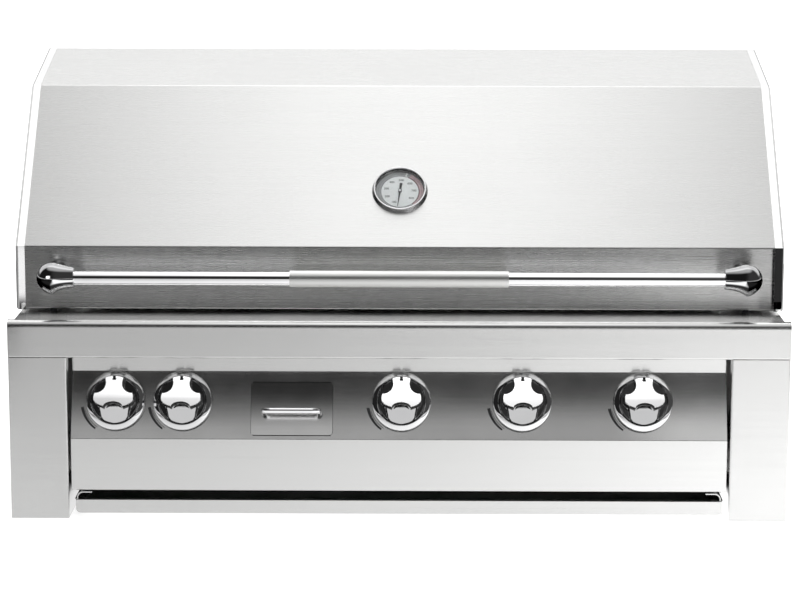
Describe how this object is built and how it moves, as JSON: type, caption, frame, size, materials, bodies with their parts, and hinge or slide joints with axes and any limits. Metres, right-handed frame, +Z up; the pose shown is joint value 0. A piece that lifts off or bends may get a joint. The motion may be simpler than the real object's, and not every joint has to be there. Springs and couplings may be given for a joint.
{
  "type": "built-in gas grill",
  "caption": "Drop-in gas grill with a lifting hood, push-and-turn knobs, a smoker drawer and a drip tray between two front posts.",
  "frame": {"origin": "on the plane of the feet, under the middle of the whole object's box", "axes": "+X to the right as seen from the front, +Y to the rear, +Z up"},
  "size_m": [1.067, 0.5914, 0.6119],
  "materials": {
    "brushed_steel": "satin stainless sheet with a fine level grain",
    "polished_steel": "mirror-polished stainless steel",
    "chrome": "bright chrome plate",
    "satin_steel": "evenly blasted satin stainless tube",
    "plain_steel": "plain mill-finish stainless sheet",
    "burner_steel": "stainless tube, lightly heat tinted",
    "grate_steel": "ground stainless bar",
    "gas_pipe": "black enamelled steel pipe",
    "valve_brass": "machined brass",
    "fitting_brass": "machined brass",
    "tube_aluminium": "bare drawn aluminium",
    "white_ceramic": "glazed insulator",
    "black_rubber": "soft moulded rubber",
    "dial_face": "white printed plate",
    "pointer_black": "matte black paint",
    "dial_glass": "flat clear glass",
    "screw_steel": "bright stainless screws"
  },
  "bodies": {
    "cabinet": {"front_rail": "brushed_steel", "post_left": "brushed_steel", "post_right": "brushed_steel", "control_panel": "brushed_steel", "knob_bezels": "chrome", "gas_valves": "valve_brass", "feed_tubes": "tube_aluminium", "gas_manifold": "gas_pipe", "gas_inlet": "fitting_brass", "smoker_burner": "burner_steel", "burner_rest": "plain_steel", "spark_electrodes": "white_ceramic", "flame_tamers": "plain_steel", "support_ledges": "plain_steel", "firebox_shell": "plain_steel", "firebox_front_wall": "plain_steel", "counter_flanges": "plain_steel", "rear_housing": "plain_steel", "rear_screws": "screw_steel", "hinge_brackets": "plain_steel", "hinge_pins": "plain_steel", "hood_bumpers": "black_rubber", "warming_rack": "grate_steel", "rack_arms": "plain_steel", "smoker_channel": "plain_steel", "tray_runners": "plain_steel", "main_burner_1": "burner_steel", "main_burner_2": "burner_steel", "main_burner_3": "burner_steel", "main_burner_4": "burner_steel", "cooking_grate_1": "grate_steel", "cooking_grate_2": "grate_steel", "cooking_grate_3": "grate_steel"},
    "hood": {"hood_skin": "brushed_steel", "hood_liner": "plain_steel", "hood_cap_left": "polished_steel", "hood_cap_right": "polished_steel", "handle_brackets": "chrome", "handle_tube": "chrome", "handle_sleeve": "satin_steel", "handle_screws": "screw_steel", "thermometer_case": "chrome", "thermometer_dial": "dial_face", "thermometer_glass": "dial_glass"},
    "thermometer_pointer": {"thermometer_pointer": "pointer_black"},
    "smoker_drawer": {"smoker_box": "plain_steel", "smoker_front": "brushed_steel", "smoker_pull": "chrome"},
    "drip_drawer": {"drip_tray": "plain_steel", "tray_front": "brushed_steel"},
    "stem_1": {"valve_stem_1": "plain_steel"},
    "knob_1": {"control_knob_1": "chrome"},
    "stem_2": {"valve_stem_2": "plain_steel"},
    "knob_2": {"control_knob_2": "chrome"},
    "stem_3": {"valve_stem_3": "plain_steel"},
    "knob_3": {"control_knob_3": "chrome"},
    "stem_4": {"valve_stem_4": "plain_steel"},
    "knob_4": {"control_knob_4": "chrome"},
    "stem_5": {"valve_stem_5": "plain_steel"},
    "knob_5": {"control_knob_5": "chrome"}
  },
  "joints": [
    {"name": "hood_hinge", "type": "hinge", "parent": "cabinet", "child": "hood", "pos_m": [0, 0.16068, 0.395], "axis": [-1, 0, 0], "range_deg": [0, 85]},
    {"name": "smoker_slide", "type": "slide", "parent": "cabinet", "child": "smoker_drawer", "axis": [0, -1, 0], "range_m": [0, 0.2]},
    {"name": "drip_tray_slide", "type": "slide", "parent": "cabinet", "child": "drip_drawer", "axis": [0, -1, 0], "range_m": [0, 0.4]},
    {"name": "pointer_turn", "type": "hinge", "parent": "hood", "child": "thermometer_pointer", "pos_m": [0, -0.13824, 0.43724], "axis": [0, 0.7254, -0.6884], "range_deg": [0, 290], "stiffness_Nm_per_rad": 0.001},
    {"name": "stem_1_push", "type": "slide", "parent": "cabinet", "child": "stem_1", "axis": [0, 0.9374, -0.3483], "range_m": [0, 0.004], "stiffness_N_per_m": 1500, "springref_m": -0.002},
    {"name": "knob_1_turn", "type": "hinge", "parent": "stem_1", "child": "knob_1", "pos_m": [-0.3893, -0.25614, 0.16013], "axis": [0, -0.9374, 0.3483], "range_deg": [0, 145]},
    {"name": "stem_2_push", "type": "slide", "parent": "cabinet", "child": "stem_2", "axis": [0, 0.9374, -0.3483], "range_m": [0, 0.004], "stiffness_N_per_m": 1500, "springref_m": -0.002},
    {"name": "knob_2_turn", "type": "hinge", "parent": "stem_2", "child": "knob_2", "pos_m": [-0.2971, -0.25614, 0.16013], "axis": [0, -0.9374, 0.3483], "range_deg": [0, 145]},
    {"name": "stem_3_push", "type": "slide", "parent": "cabinet", "child": "stem_3", "axis": [0, 0.9374, -0.3483], "range_m": [0, 0.004], "stiffness_N_per_m": 1500, "springref_m": -0.002},
    {"name": "knob_3_turn", "type": "hinge", "parent": "stem_3", "child": "knob_3", "pos_m": [0.0035, -0.25614, 0.16013], "axis": [0, -0.9374, 0.3483], "range_deg": [0, 145]},
    {"name": "stem_4_push", "type": "slide", "parent": "cabinet", "child": "stem_4", "axis": [0, 0.9374, -0.3483], "range_m": [0, 0.004], "stiffness_N_per_m": 1500, "springref_m": -0.002},
    {"name": "knob_4_turn", "type": "hinge", "parent": "stem_4", "child": "knob_4", "pos_m": [0.1693, -0.25614, 0.16013], "axis": [0, -0.9374, 0.3483], "range_deg": [0, 145]},
    {"name": "stem_5_push", "type": "slide", "parent": "cabinet", "child": "stem_5", "axis": [0, 0.9374, -0.3483], "range_m": [0, 0.004], "stiffness_N_per_m": 1500, "springref_m": -0.002},
    {"name": "knob_5_turn", "type": "hinge", "parent": "stem_5", "child": "knob_5", "pos_m": [0.3351, -0.25614, 0.16013], "axis": [0, -0.9374, 0.3483], "range_deg": [0, 145]}
  ]
}
